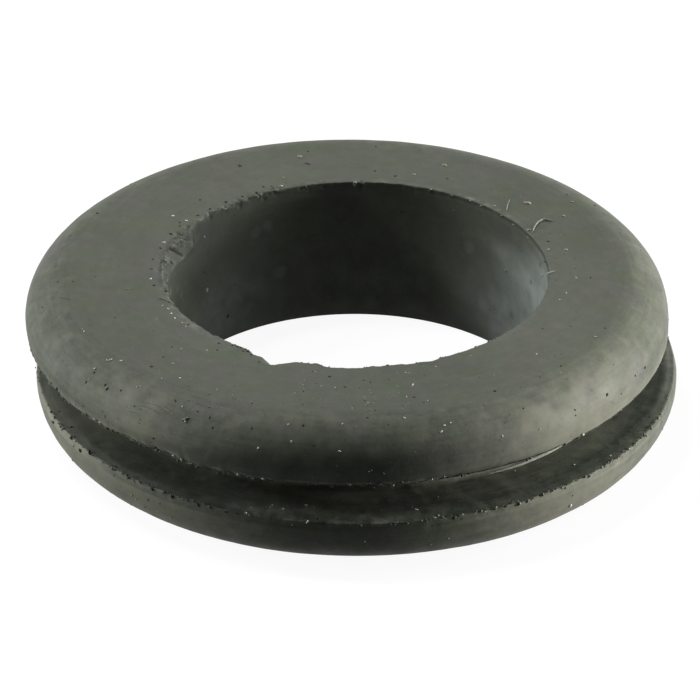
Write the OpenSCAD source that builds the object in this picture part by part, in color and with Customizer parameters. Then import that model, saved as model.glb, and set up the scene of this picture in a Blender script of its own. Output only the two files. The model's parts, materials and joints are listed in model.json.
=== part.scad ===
// Rubber panel grommet: a ring with two rolled-edge flanges and a groove
// between them that snaps over the rim of a hole in a sheet-metal panel.
// It is moulded in one piece. The bore stands on the Z axis and the lower
// face lies on Z = 0. The three mould parts did not line up exactly, so each
// flange sits a little off the bore's axis.

/* [Bore] */
// Diameter of the hole that the cable passes through
bore_d = 15; // [8:0.5:18]

/* [Flanges] */
// Outside diameter of both flanges
flange_d = 25; // [21.5:0.5:40]
// Thickness of each flange, from its flat face to the groove
flange_h = 2.2; // [1.4:0.1:4]
// Radius of the rolled outer edge of each flange
edge_r = 1.8; // [0.4:0.1:2.4]

/* [Panel groove] */
// Diameter of the groove's floor, which is that of the panel hole
groove_d = 20; // [16:0.5:22]
// Width of the groove, for a 1.6 mm panel
groove_w = 1.65; // [1:0.05:3]
// Radius in the two corners of the groove's floor
groove_corner_r = 0.25; // [0.05:0.05:0.45]

/* [Mould mismatch] */
// How far the upper flange lies from the bore's axis along X
upper_shift = -0.32; // [-0.5:0.02:0.5]
// How far the lower flange lies from the bore's axis along X
lower_shift = 0.06; // [-0.5:0.02:0.5]

/* [Hidden] */
$fn = 96;

// Narrowest straight band left between a rolled edge and the groove
min_land = 0.1;
// How far a cutter runs past the faces that it opens
cut_past = 1;

// Overall height, and the height at which the mould halves meet
total_h = 2 * flange_h + groove_w;
parting_z = total_h / 2;

// The rolled edge is limited by the flange's own thickness
rolled_r = min(edge_r, flange_h - min_land);

// Half section of one mould half: its flat face on the X axis, its outer
// corner rolled, and its open side at the parting plane
module half_section() {
    flange_r = flange_d / 2;
    translate([0, rolled_r]) square([flange_r, parting_z - rolled_r]);
    square([flange_r - rolled_r, parting_z]);
    translate([flange_r - rolled_r, rolled_r])
        intersection() {
            circle(r = rolled_r);
            translate([0, -rolled_r]) square(rolled_r);
        }
}

// One mould half, flat face down
module mould_half() {
    rotate_extrude() half_section();
}

// Half section of the groove: open outwards, with its two floor corners round
module groove_section() {
    floor_r = groove_d / 2;
    mouth_r = flange_d / 2 + max(abs(upper_shift), abs(lower_shift)) + cut_past;
    translate([floor_r, groove_corner_r])
        square([mouth_r - floor_r, groove_w - 2 * groove_corner_r]);
    translate([floor_r + groove_corner_r, 0])
        square([mouth_r - floor_r - groove_corner_r, groove_w]);
    for (z = [groove_corner_r, groove_w - groove_corner_r])
        translate([floor_r + groove_corner_r, z]) circle(r = groove_corner_r);
}

// Ring-shaped cutter of the groove
module panel_groove() {
    translate([0, 0, flange_h]) rotate_extrude() groove_section();
}

// Cutter of the bore, right through both flanges
module bore() {
    translate([0, 0, -cut_past]) cylinder(d = bore_d, h = total_h + 2 * cut_past);
}

module grommet() {
    color([0.25, 0.25, 0.24])
        difference() {
            union() {
                translate([lower_shift, 0, 0]) mould_half();
                translate([upper_shift, 0, total_h]) mirror([0, 0, 1]) mould_half();
            }
            panel_groove();
            bore();
        }
}

grommet();
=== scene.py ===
"""A moulded rubber panel grommet on a pale table: two rolled-edge flanges with a groove between them.

The surfaces are worked out in millimetres. mesh_piece and the shader nodes turn them into metres.
"""

import json
import math

import bpy
import numpy as np
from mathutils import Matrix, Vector


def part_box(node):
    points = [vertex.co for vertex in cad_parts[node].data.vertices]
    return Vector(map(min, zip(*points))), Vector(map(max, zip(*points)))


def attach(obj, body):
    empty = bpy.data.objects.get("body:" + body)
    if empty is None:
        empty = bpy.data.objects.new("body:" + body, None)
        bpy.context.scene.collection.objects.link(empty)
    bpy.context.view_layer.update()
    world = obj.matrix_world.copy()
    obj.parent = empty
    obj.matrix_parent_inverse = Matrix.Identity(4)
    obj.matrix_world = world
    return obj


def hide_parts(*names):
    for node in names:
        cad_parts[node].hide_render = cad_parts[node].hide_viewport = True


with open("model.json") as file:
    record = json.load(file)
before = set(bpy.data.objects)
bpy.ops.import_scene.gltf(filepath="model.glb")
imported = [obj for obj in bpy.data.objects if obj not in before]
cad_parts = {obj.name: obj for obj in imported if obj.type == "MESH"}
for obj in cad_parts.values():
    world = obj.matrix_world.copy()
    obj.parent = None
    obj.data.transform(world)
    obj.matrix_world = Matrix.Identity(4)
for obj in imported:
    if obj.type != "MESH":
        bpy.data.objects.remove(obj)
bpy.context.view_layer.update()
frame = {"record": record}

# -------- sizes, in millimetres

MM = 0.001
BODY = "root"
NODE = "grommet"

low_corner, high_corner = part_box(NODE)
bore_mount = next(mount for mount in frame["record"]["mounts"] if mount["name"] == "bore")

BORE_R = bore_mount["dims"]["r_mm"]
TOP = high_corner.z / MM
FLANGE_R = (high_corner.y - low_corner.y) / 2 / MM
# The mould halves don't line up: each flange's centre lies off the bore's axis along X.
UPPER_X = low_corner.x / MM + FLANGE_R
LOWER_X = high_corner.x / MM - FLANGE_R
GROOVE_W = 1.65
FLANGE_T = (TOP - GROOVE_W) / 2
# Height of the upper flange's parting edge, and of the lower flange's
UNDER = TOP - FLANGE_T
LEDGE = FLANGE_T
ROLL_R = 1.8
FLOOR_R = 10.0
FLOOR_CORNER_R = 0.25
# Small rounding of the edges that the mould leaves sharp
CRISP_R = 0.06
# Where the closely spaced stations start: at the torn band, at the skin's lip, and behind the lower edge
BAND_FROM = TOP - 0.95
LIP_FROM = TOP - 0.14
STRIP_FROM = FLANGE_R - 0.7
TURNS = 900
FIN_TURNS = 2400

# -------- how the mould and the knife left it
# Each table goes round the part: degrees anticlockwise from +X, and hundredths there, of a millimetre for a
# distance and of the full strength for the rest.

# The thin skin at the bore's top edge: how far it stands into the bore, negative where a chip is missing
SKIN_REACH = {
    140: 0, 188: 3, 200: 10, 212: 20, 218: 25, 236.5: 25, 239: 3, 241.5: 3, 243: -5, 245.5: -21, 247: -15,
    248.6: -7, 250.5: 0, 252: 15, 254: 24, 257: 24, 257.8: 36, 259: 30, 261: 14, 262.5: 4, 272: 4, 275: 16,
    284: 15, 285: 7, 289: 10, 292.8: 0, 296: 12, 301: 12, 304: 8.5, 311: 8.5, 330: 3, 350: 0,
}
# How crumbly the bore's top edge is
EDGE_CRUMBLE = {
    0: 1.2, 40: 2, 95: 2.5, 104: 6, 128: 8, 142: 7, 150: 6, 200: 6, 210: 5, 228: 4, 240: 2, 312: 1.5,
    340: 1.2,
}
# The torn band on the bore's wall: how far down its lip lies, how far it leans into the bore, how pale it is
TEAR_DEPTH = {148: 44, 172: 42, 178: 36, 184: 28, 190: 20}
TEAR_LEAN = {147: 0, 151: 18, 155: 48, 160: 55, 166: 45, 172: 32, 178: 26, 184: 22, 189: 18, 194: 5, 197: 0}
TEAR_CHALK = {150: 0, 158: 25, 163: 70, 176: 90, 184: 80, 190: 35, 196: 0}
# How much of the upper flange's parting edge is worn or torn off, and the shares that go inwards and up
EDGE_WEAR = {
    0: 0, 150: 2, 172: 5, 184: 9, 195: 15, 205: 17, 214: 17, 223: 24, 236: 20, 246: 10, 254: 4, 264: 2,
    300: 1, 330: 0,
}
WEAR_IN = 0.6
WEAR_UP = 0.8
# How far the lower rim is rounded over
RIM_ROUNDING = {0: 16, 40: 10, 180: 5, 240: 6, 300: 5, 335: 8, 350: 16}
# The line under the bore's top edge: a shallow crease, painted dark as its shade
EDGE_CREASE_SHADE = {0: 90, 50: 80, 75: 30, 100: 20, 140: 10, 160: 0, 330: 0, 345: 70}
# The crack over the peeled strand, painted dark as its shadow, and how far the strand hangs below the upper
# flange's edge
STRAND_CRACK_PAINTED_SHADE = {279: 0, 284: 70, 300: 90, 306: 30, 310: 0}
STRAND_DROP = {290: 22, 295: 22, 300: 18, 304: 13, 309: 6, 312: 0, 318: 0}
# Share of the full raggedness along the flange edges
UPPER_RAGGED = {
    0: 5, 90: 10, 175: 10, 188: 30, 196: 60, 245: 70, 262: 70, 281: 60, 286: 15, 312: 10, 316: 40, 320: 10,
    335: 5,
}
LOWER_RAGGED = {
    0: 0, 30: 5, 90: 15, 160: 15, 185: 20, 205: 20, 240: 35, 262: 15, 285: 25, 295: 28, 322: 28, 330: 20,
    337: 10,
}
# Where crumbs lie along the lower rim, and black grit on the ledge just behind it
LOWER_CRUMBLY = {
    0: 2, 30: 5, 90: 10, 185: 20, 205: 30, 240: 35, 262: 20, 285: 35, 295: 80, 330: 80, 342: 30, 350: 10,
}
RIM_GRIT = {180: 0, 192: 80, 225: 100, 245: 80, 256: 20, 285: 30, 295: 60, 332: 60, 342: 20, 350: 0}
# How strongly the groove is marked by handling
GROOVE_MARKS = {0: 100, 180: 100, 200: 130, 245: 120, 275: 120, 292: 180, 335: 180, 350: 120}

# Tints, paler above 0 and darker below, painted light and shade as well as dry bloom and grease: the lower
# flange's side, painted lighter on the left and right where the lamps stand and darker at the front, and its
# shoulder
SIDE_PAINTED_SHADING = {
    0: 5, 90: 5, 150: 10, 185: 35, 205: 50, 228: 50, 242: 30, 250: 5, 258: -50, 276: -50, 288: -10, 300: 25,
    312: 42, 322: 35, 332: 5, 345: 0,
}
SIDE_SHOULDER_TINT = {
    0: -20, 60: 0, 190: -30, 205: -35, 215: 0, 230: 40, 245: 10, 260: 0, 278: -10, 290: -45, 305: -20,
    320: -50, 335: -60, 350: -35,
}
# The groove and its ledge, painted darker at the front where the upper flange shades it and lighter where
# light reaches in, the strip of ledge along the lower rim, painted darker mostly as the shadow of the rim's
# flash, and the corner at the groove's foot, painted lighter as fill light in its deep shade
LEDGE_PAINTED_SHADING = {
    0: -10, 60: 0, 150: 0, 185: 10, 203: 100, 212: 50, 221: -30, 232: -85, 245: -70, 262: -50, 275: -20,
    285: 10, 300: 38, 315: 25, 328: 45, 340: 0, 350: -20,
}
LEDGE_OUTER_PAINTED_SHADOW = {
    0: -30, 60: 0, 232: 0, 243: -35, 254: -10, 266: 0, 276: 35, 284: 0, 300: -35, 318: -35, 330: -25,
    340: -40, 350: -30,
}
CORNER_PAINTED_FILL_LIGHT = {
    236: 0, 246: 25, 254: 130, 266: 150, 272: 90, 279: 0, 294: 0, 302: 30, 310: 45, 319: 30, 328: 0,
}
# The upper roll's foot, painted darker at the front and lighter at the front right as light and shade, the
# strip just over its parting edge, painted lighter as grazing light, its crown, with scuffs and painted
# highlight and shade, and the face
ROLL_PAINTED_SHADING = {
    0: -10, 30: 0, 170: 2, 195: -2, 215: -5, 223: 15, 231: 42, 239: 5, 248: -45, 258: -90, 272: -95,
    284: -65, 291: -20, 302: 22, 311: 40, 320: 20, 330: 5, 338: -25, 350: -30,
}
ROLL_FOOT_PAINTED_LIGHT = {
    0: 10, 30: 0, 198: 0, 206: 35, 215: 80, 226: 40, 235: 20, 245: 0, 310: 0, 320: 35, 333: 40, 345: 90,
    352: 30,
}
CROWN_R = 11.9
CROWN_SCUFFS_AND_PAINTED_SHADING = {
    0: -6, 20: 0, 160: 0, 178: -22, 205: -36, 217: -12, 230: 42, 240: 5, 250: -12, 260: -25, 275: -20,
    286: 0, 292: 10, 305: 40, 318: 50, 326: 25, 334: 0, 342: -5, 352: -8,
}
FACE_TINT = {
    0: 10, 20: 0, 45: -5, 70: 2, 90: 2, 130: 4, 170: 1, 230: 2, 250: -6, 262: -14, 285: -12, 305: 5,
    325: 12, 340: 9,
}
# The bore's wall, with its foot, its head, and the strip close under its upper edge, all painted with light
# and shade: a highlight on the right wall, shade on the far wall and under the top edge, and light where the
# rims' shadows fall low down
BORE_PAINTED_SHADING = {
    0: 60, 8: 90, 16: 100, 24: 90, 32: 72, 38: 62, 46: 28, 53: 12, 58: 0, 64: -25, 72: -50, 85: -60,
    96: -40, 106: -10, 114: 8, 125: 10, 135: 0, 145: -38, 156: -36, 165: -20, 178: 0, 200: 0, 340: 10,
}
BORE_FOOT_PAINTED_SHADING = {
    0: 20, 18: 30, 26: 60, 37: 60, 46: 20, 56: 20, 64: 0, 72: -40, 85: -80, 101: -70, 112: 0, 122: 50,
    136: 100, 150: 50, 158: 30,
}
BORE_HEAD_PAINTED_SHADE = {
    0: 0, 14: -5, 21: -42, 30: -75, 38: -65, 48: -30, 56: -10, 66: 0, 112: 0, 125: -30, 136: -40, 146: -20,
    152: 0,
}
BORE_LIP_PAINTED_SHADING = {0: -40, 20: -40, 30: -10, 40: 0, 80: 0, 90: 35, 105: 25, 112: 0, 148: 0, 153: -30, 162: 0}

# Chalky residue: on the ledge along the lower rim, on the two parting edges, and on the face round the bore
STRIP_CHALK = {
    0: 30, 20: 10, 60: 0, 200: 0, 240: 10, 252: 40, 261: 70, 270: 100, 280: 100, 288: 60, 300: 15, 330: 15,
    345: 10,
}
RIM_CHALK = {
    0: 0, 185: 10, 196: 50, 214: 60, 219: 20, 232: 30, 236: 100, 241: 40, 246: 90, 262: 100, 281: 90,
    288: 10, 300: 0,
}
SHOULDER_CHALK = {0: 10, 20: 5, 60: 0, 185: 10, 240: 10, 262: 30, 290: 25, 318: 25, 335: 10}
MOUTH_CHALK = {
    0: 0, 30: 5, 38: 35, 52: 50, 62: 30, 75: 10, 100: 15, 112: 0, 196: 0, 204: 40, 216: 40, 224: 0,
}

# Single places are in millimetres and degrees, and what follows is in hundredths.
# Nicks in the bore's top edge: radius, degrees, width and depth
NICKS = (
    (7.5, 189.5, 14, 8), (7.56, 178.5, 13, 9), (7.55, 172.5, 10, 7), (7.5, 164.5, 11, 9),
    (7.58, 155, 18, 12), (7.56, 150, 14, 9), (7.52, 139.5, 14, 9), (7.51, 133, 16, 9), (7.52, 127.5, 12, 8),
    (7.5, 119, 13, 8), (7.48, 107, 10, 5), (7.5, 99.5, 12, 6), (7.52, 88, 14, 12), (7.5, 72, 12, 5),
    (7.46, 222, 16, 10), (7.4, 226.5, 14, 8),
)
# Grains that catch the eye on the upper flange: radius from its centre, degrees, size, and for some a tone
BRIGHT_SPECKS = (
    (11.78, 288, 5), (11.95, 287.2, 4.5), (11.73, 289.3, 3.5), (9.12, 285.8, 5), (7.52, 209, 5.5),
    (11.2, 217, 6), (11.3, 216.5, 4.5), (11.78, 216, 5), (11.29, 281, 4.5), (10.98, 219, 5),
    (9.72, 227.5, 4.5), (10.38, 232.8, 5), (9, 267.2, 3.5), (11.6, 227.2, 4), (8.7, 223.8, 3.5),
    (11.04, 204.8, 4.5), (10.83, 230, 3.5), (11.57, 259.2, 4), (10.76, 331.8, 4.5), (11.68, 238.2, 3.5),
    (11.43, 269.2, 3.5), (8.12, 294.5, 3.5), (12.39, 305.8, 3.5), (12.32, 298.2, 4.5), (7.45, 203, 4),
    (12.5, 219.6, 9.5, 45), (12.5, 221.2, 7.5, 40), (12.5, 207.5, 7, 40), (12.5, 251.1, 6.5, 60),
    (12.5, 211.8, 6, 45), (12.08, 260.2, 4), (9.65, 318.2, 5), (10.42, 287, 3.5), (8.28, 146, 7.5),
    (7.62, 146.2, 5.5), (7.62, 184, 6), (7.58, 161.2, 6.5), (12.29, 254.5, 4), (12.24, 268.8, 4.5),
    (8.12, 229.2, 3.5), (8.47, 345, 4.5), (12.05, 240, 4.5), (12.5, 238.5, 6), (12.5, 240.2, 5.5),
    (12.5, 255.6, 7), (12.5, 284.8, 4.5, 60), (12.5, 287, 3.8, 60), (12.5, 289.8, 3.8, 50),
    (12.5, 279.6, 4, 60), (12.5, 270.5, 4, 60), (12.5, 315.5, 8.5), (7.48, 206, 4.5), (7.46, 212.5, 4),
    (7.5, 215, 3.5), (7.55, 200.5, 3.5),
    # Larger and duller ones at the back
    (9.12, 38.8, 14, 25), (9.82, 101.2, 12, 20), (9.72, 66.5, 11, 20), (9.72, 28.5, 8.5, 20),
    (10.62, 33.2, 7, 15), (8.53, 71.8, 8.5, 12), (7.98, 43.2, 7.5, 25), (7.92, 26, 8.5, 30),
    (8.75, 12.2, 8.5, 30), (8.05, 13.2, 8, 22), (8.6, 349, 7, 32), (8.88, 357.2, 6.5, 22),
    (7.6, 110.2, 7, 45), (8.25, 108, 6.5, 10), (7.62, 22, 4, 12), (7.6, 31, 4.5, 15), (7.63, 37.5, 4, 15),
    (7.6, 46, 5, 20), (7.65, 50.5, 4, 15), (7.6, 57, 4.5, 15), (7.62, 64, 5, 10), (7.66, 69.5, 4, 10),
    (7.6, 79, 4, 10), (7.62, 98, 4.5, 20),
)
DARK_SPECKS = (
    (7.85, 231.3, 5), (9.62, 223.8, 4.5), (8.85, 221.5, 4.5), (12.06, 221.5, 6), (11.93, 224.5, 4.5),
    (11.88, 216.5, 5), (10.79, 336, 5), (8.35, 134.2, 5), (11.2, 183.2, 5), (11.78, 244.3, 4.5),
    (10.62, 184, 5), (8.7, 329.2, 4.5), (12.33, 314.2, 4.5), (12.41, 314, 4.5), (12.38, 322.8, 7),
    (12.45, 336.2, 6), (12.43, 332.2, 4.5), (11.55, 236.2, 4.5), (12.04, 245.5, 4.5), (12.48, 234.5, 5),
    (11.9, 189.5, 5), (11.55, 262, 5), (11.52, 277.8, 3.5), (12, 220.6, 5), (12.2, 216, 4.5),
    (12.5, 217.4, 9.5, 40), (12.5, 223.2, 10, 50), (12.5, 224.6, 7, 30), (12.5, 229.8, 6, 40),
    # In the broken edge at the left, soft ones at the back, and at the chip in front
    (7.6, 155.5, 9, 60), (7.55, 164.8, 7, 60), (7.62, 172, 6, 60), (7.58, 178, 7, 60), (7.52, 188, 8, 50),
    (7.58, 150, 6, 60), (7.52, 141.5, 6, 70), (7.53, 136, 6, 80), (7.53, 129.5, 7, 80),
    (7.52, 123.5, 6, 80), (7.52, 118.5, 6, 80), (7.56, 112.8, 5, 90), (9.18, 100, 9, 140),
    (9.85, 115.8, 10, 130), (7.83, 115.2, 7, 120), (8.22, 76.5, 8, 160), (7.75, 6.5, 5.5, 50),
    (7.76, 244.8, 5, 30), (7.4, 229, 5, 30), (7.22, 233.2, 6, 25), (7.19, 234.6, 6.5, 15),
    (7.16, 235.8, 5.5, 20), (7.17, 237.6, 5, 30), (7.24, 238.8, 6, 15), (7.42, 240.8, 5.5, 20),
    (7.33, 237.6, 4.5, 50),
)
# The same on the lower flange's ledge
LEDGE_SPECKS = (
    (12.45, 261.5, 5), (11.7, 281.1, 5.5), (12.42, 250.5, 4), (10.1, 244, 4), (12.2, 322.2, 4.5),
    (11.6, 315.3, 5), (10.5, 304.8, 4), (12.41, 283.6, 6), (12.3, 284.4, 5),
)
# Grains on the bore's wall and on the lower flange's side: degrees, height, size and tone
WALL_SPECKS = (
    (37.3, 3.63, 8.5, 15), (141.6, 2.71, 12.5, 155), (142.7, 5.16, 8, 35), (149.9, 5.75, 6, 50),
    (154.9, 3.07, 6, 15), (58.5, 5.38, 6, 5), (29.6, 5.03, 4.5, 5), (90.1, 6, 8.5, 50), (90.2, 5.88, 6, 45),
    (105, 5.96, 5, 20), (121, 5.95, 5.5, 20), (133, 5.9, 6, 20),
)
SIDE_SPECKS = (
    (310.9, 1.12, 10, 120), (261.4, 2.16, 5, 80), (271.4, 1.41, 5.5, 70), (283, 1, 5, 60),
    (226.8, 1.4, 5.5, 50), (227.8, 1.31, 5, 45), (235.4, 1.09, 5, 40), (250.6, 2.25, 4.5, 60),
    (257.2, 2.67, 4, 50), (286.2, 1.2, 3.5, 50), (316.8, 0.4, 4.5, 60), (218.8, 0.6, 4, 40),
)
DARK_SIDE_SPECKS = (
    (230.8, 1.55, 4.5, 60), (224, 0.5, 4, 60), (205, 2.05, 4, 50), (210, 1.9, 3.5, 60),
    (229.5, 1.05, 4, 50), (233.5, 1.6, 3.5, 70), (222.5, 1.9, 3.5, 60), (200.7, 1.9, 9.5, 60),
    (209, 2.14, 8, 40), (212.3, 1.95, 9, 60), (215.5, 2.16, 7, 40), (219.5, 2.17, 5.5, 50),
    (222.2, 2.16, 8, 40), (226.2, 2.15, 9, 50), (229.2, 2.17, 6, 40), (231.8, 2.1, 8.5, 50),
    (234.4, 2.16, 5.5, 50), (236.2, 2.12, 9, 50), (239.5, 2.17, 6, 60), (241.5, 2.12, 7.5, 40),
    (246.7, 2.11, 7, 60), (204.5, 2.15, 6, 40),
)
# Soft pale (above 0) or dark marks on the bore's wall, partly smudges and partly painted light and shade, the
# widest pale one a painted highlight on the right: degrees, height, half-width and strength
WALL_MARKS_AND_PAINTED_SHADING = (
    (113.6, 2.31, 36, 40), (117.6, 4.55, 32, 30), (121.5, 4.4, 30, 22), (133.5, 0.6, 50, 45),
    (124.5, 1.9, 35, 15), (156, 3.34, 22, 40), (52.9, 3.93, 36, 30), (22.9, 3.99, 16, -50),
    (34, 1.79, 22, -35), (15.6, 5.3, 16, -60), (158.3, 3.8, 20, 30), (9, 4.5, 90, 45), (165, 4.1, 24, 50),
    (168, 3.75, 20, 45), (150, 4.9, 30, -35), (146, 5.3, 25, 30), (47, 1.6, 40, 15), (96, 4.6, 50, 12),
)


# -------- helpers for surfaces

def smoothstep(low, high, x):
    """0 below low, 1 above high, and the cubic 3t^2 - 2t^3 between them."""
    t = np.clip((x - low) / (high - low), 0, 1)
    return t * t * (3.0 - 2.0 * t)


def falloff(distance, reach):
    """1 at no distance and 0 from reach on, by the same cubic."""
    return 1.0 - smoothstep(0, reach, distance)


def around(theta, table):
    """The value at each angle between a table's degrees, by straight steps that close on themselves."""
    return np.interp(np.degrees(theta) % 360.0, list(table), list(table.values()), period=360.0) / 100


def lattice(corner, seed):
    """A pseudo-random number from 0 to 1 for each whole-number corner: the fraction of a large sine."""
    wave = np.sin(corner @ [127.1, 311.7, 74.7] + seed * 53.9) * 43758.5453
    return wave - np.floor(wave)


def noise(points, cell, seed):
    """Smooth noise from -1 to 1: lattice numbers a cell apart, blended by a cubic weight along each axis."""
    base, part = np.divmod(points / cell, 1.0)
    part = part * part * (3.0 - 2.0 * part)
    total = np.zeros(points.shape[:-1])
    for corner in np.ndindex(2, 2, 2):
        weight = np.where(corner, part, 1 - part).prod(axis=-1)
        total += weight * lattice(base + corner, seed)
    return 2.0 * total - 1.0


def rough(points, cell, seed):
    """Two octaves of noise, the finer one half as wide and half as strong."""
    return (noise(points, cell, seed) + 0.5 * noise(points, cell / 2.1, seed + 1)) / 1.5


def line(start, end, count):
    """count stations from start towards end, which is left out. A station is (radius, height, centre X)."""
    return np.linspace(start, end, count, endpoint=False)


def arc(centre, radius, start_deg, end_deg, count):
    """count stations on a circle round centre, from one angle towards the other, which is left out."""
    angle = np.radians(np.linspace(start_deg, end_deg, count, endpoint=False))
    return np.stack([radius * np.cos(angle), radius * np.sin(angle), 0 * angle], axis=1) + centre


def placed(centre_x, radius, theta, height):
    """Points at a radius from centre X in the direction theta, and at a height. All four may be arrays."""
    x = centre_x + radius * np.cos(theta)
    return np.stack(np.broadcast_arrays(x, radius * np.sin(theta), height), axis=-1)


def swept(section, theta):
    """Points of a section carried round: each station's radius from its centre X, at its height."""
    radius, height, centre_x = np.transpose(section)
    return placed(centre_x, radius, theta, height)


def mesh_piece(name, points, faces, material, values=None):
    """A smooth mesh object from points in mm. values gives numbers to carry on them, by attribute name."""
    mesh = bpy.data.meshes.new(name)
    mesh.from_pydata((points.reshape(-1, 3) * MM).tolist(), [], faces)
    mesh.polygons.foreach_set("use_smooth", np.ones(len(mesh.polygons), dtype=bool))
    for key, numbers in (values or {}).items():
        layer = mesh.attributes.new(key, "FLOAT", "POINT")
        layer.data.foreach_set("value", np.ascontiguousarray(numbers, dtype=np.float32).ravel())
    mesh.materials.append(material)
    mesh.update()
    piece = bpy.data.objects.new(name, mesh)
    bpy.context.scene.collection.objects.link(piece)
    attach(piece, BODY)
    return piece


def band_quads(rows, next_rows, stations):
    """Quads from each row of a grid to its next row. A row closes on itself."""
    j = np.arange(stations)
    next_j = (j + 1) % stations
    i, next_i = rows[:, None] * stations, next_rows[:, None] * stations
    return np.stack([i + j, i + next_j, next_i + next_j, next_i + j], axis=-1).reshape(-1, 4).tolist()


def loop_faces(turns, stations):
    """Quads of a grid that closes on itself both ways."""
    rows = np.arange(turns)
    return band_quads(rows, (rows + 1) % turns, stations)


def rod(sections):
    """Points and faces of a tube: closed sections carried along, and a fan at each end."""
    steps, sides = sections.shape[:2]
    points = np.concatenate([sections.reshape(-1, 3), sections[[0, -1]].mean(axis=1)])
    rows = np.arange(steps - 1)
    j = np.arange(sides)
    next_j = (j + 1) % sides
    middle = np.full(sides, steps * sides)
    last = (steps - 1) * sides
    first_fan = np.stack([middle, next_j, j], axis=-1)
    last_fan = np.stack([middle + 1, last + j, last + next_j], axis=-1)
    return points, band_quads(rows, rows + 1, sides) + first_fan.tolist() + last_fan.tolist()


# -------- the moulded ring

def ring_section():
    """Closed section of the ring: up the bore, over the upper flange, round the groove and back under."""
    crisp = CRISP_R
    roll_at = FLANGE_R - ROLL_R
    floor_at = FLOOR_R + FLOOR_CORNER_R
    face_at = BORE_R + 0.7
    lip = [
        (BORE_R, LIP_FROM, 0), (BORE_R, TOP - 0.11, 0), (BORE_R, TOP - 0.08, 0),
        (BORE_R, TOP - 0.04, 0), (BORE_R + 0.012, TOP - 0.012, 0), (BORE_R + 0.04, TOP, 0),
    ]
    return np.concatenate([
        line((BORE_R, crisp, 0), (BORE_R, BAND_FROM, 0), 7),
        line((BORE_R, BAND_FROM, 0), (BORE_R, LIP_FROM, 0), 14),
        lip,
        line((BORE_R + 0.1, TOP, 0), (face_at, TOP, 0), 6),
        line((face_at, TOP, 0), (roll_at, TOP, UPPER_X), 8),
        arc((roll_at, TOP - ROLL_R, UPPER_X), ROLL_R, 90, 0, 15),
        line((FLANGE_R, TOP - ROLL_R, UPPER_X), (FLANGE_R, UNDER + crisp, UPPER_X), 4),
        arc((FLANGE_R - crisp, UNDER + crisp, UPPER_X), crisp, 0, -90, 3),
        line((FLANGE_R - crisp, UNDER, UPPER_X), (floor_at, UNDER, 0), 5),
        arc((floor_at, UNDER - FLOOR_CORNER_R, 0), FLOOR_CORNER_R, 90, 180, 3),
        line((FLOOR_R, UNDER - FLOOR_CORNER_R, 0), (FLOOR_R, LEDGE + FLOOR_CORNER_R, 0), 3),
        arc((floor_at, LEDGE + FLOOR_CORNER_R, 0), FLOOR_CORNER_R, 180, 270, 3),
        line((floor_at, LEDGE, 0), (STRIP_FROM, LEDGE, LOWER_X), 4),
        line((STRIP_FROM, LEDGE, LOWER_X), (FLANGE_R - crisp, LEDGE, LOWER_X), 7),
        arc((FLANGE_R - crisp, LEDGE - crisp, LOWER_X), crisp, 90, 0, 3),
        line((FLANGE_R, LEDGE - crisp, LOWER_X), (FLANGE_R, ROLL_R, LOWER_X), 3),
        arc((roll_at, ROLL_R, LOWER_X), ROLL_R, 0, -90, 10),
        line((roll_at, 0, LOWER_X), (BORE_R + crisp, 0, 0), 4),
        arc((BORE_R + crisp, crisp, 0), crisp, 270, 180, 2),
    ])


# The ring before any wear, and the three edges that wear follows
THETA = np.linspace(0, 2 * math.pi, TURNS, endpoint=False)[:, None]
SECTION = ring_section()
RADIUS, HEIGHT = SECTION[:, 0], SECTION[:, 1]
CLEAN_RING = swept(SECTION, THETA)
BORE_EDGE = [(BORE_R, TOP, 0)]
UPPER_EDGE = [(FLANGE_R, UNDER, UPPER_X)]
LOWER_EDGE = [(FLANGE_R, LEDGE, LOWER_X)]
# Each station's distance from those edges, and which part of the ring it belongs to
FROM_BORE_EDGE = np.hypot(RADIUS - BORE_R, HEIGHT - TOP)
FROM_UPPER_EDGE = np.hypot(RADIUS - FLANGE_R, HEIGHT - UNDER)
FROM_LOWER_EDGE = np.hypot(RADIUS - FLANGE_R, HEIGHT - LEDGE)
ON_WALL = (RADIUS <= BORE_R + 0.05) & (HEIGHT > 2 * CRISP_R)
IN_BORE = RADIUS <= BORE_R + 0.02
IN_GROOVE = (HEIGHT < UNDER + 0.05) & (HEIGHT > ROLL_R) & (RADIUS > BORE_R + 1)
ON_LEDGE = np.abs(HEIGHT - LEDGE) < 0.01
ON_SIDE = (HEIGHT < LEDGE) & (RADIUS > FLANGE_R - ROLL_R) & (HEIGHT > 0)
ON_ROLL = (HEIGHT > UNDER + 0.05) & (RADIUS > FLANGE_R - ROLL_R)
ON_TOP = HEIGHT > UNDER + 0.3
# The strip of ledge along the lower rim
RIM_STRIP = ON_LEDGE * falloff(np.abs(RADIUS - FLANGE_R + 0.32), 0.75)


def section_normals():
    """Outward normals in the section's plane: the step from the last station to the next one, turned left."""
    step = np.roll(SECTION, -1, axis=0) - np.roll(SECTION, 1, axis=0)
    normal = np.stack([-step[:, 1], step[:, 0]])
    return normal / np.linalg.norm(normal, axis=0)


def upper_edge_shift(theta):
    """How far the upper parting edge moves out and up: shares of its listed wear, made rough by noise."""
    edge = swept(UPPER_EDGE, theta)
    wear = around(theta, EDGE_WEAR) * (0.9 + 0.45 * rough(edge, 0.8, 41) + 0.25 * noise(edge, 0.2, 43))
    wear = np.maximum(wear, 0)
    return -WEAR_IN * wear, WEAR_UP * wear


def lower_edge_shift(theta):
    """How far the lower parting edge moves out and up: in and down by a share of its listed rounding."""
    rounding = 0.6 * around(theta, RIM_ROUNDING)
    return -rounding, -rounding


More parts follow.
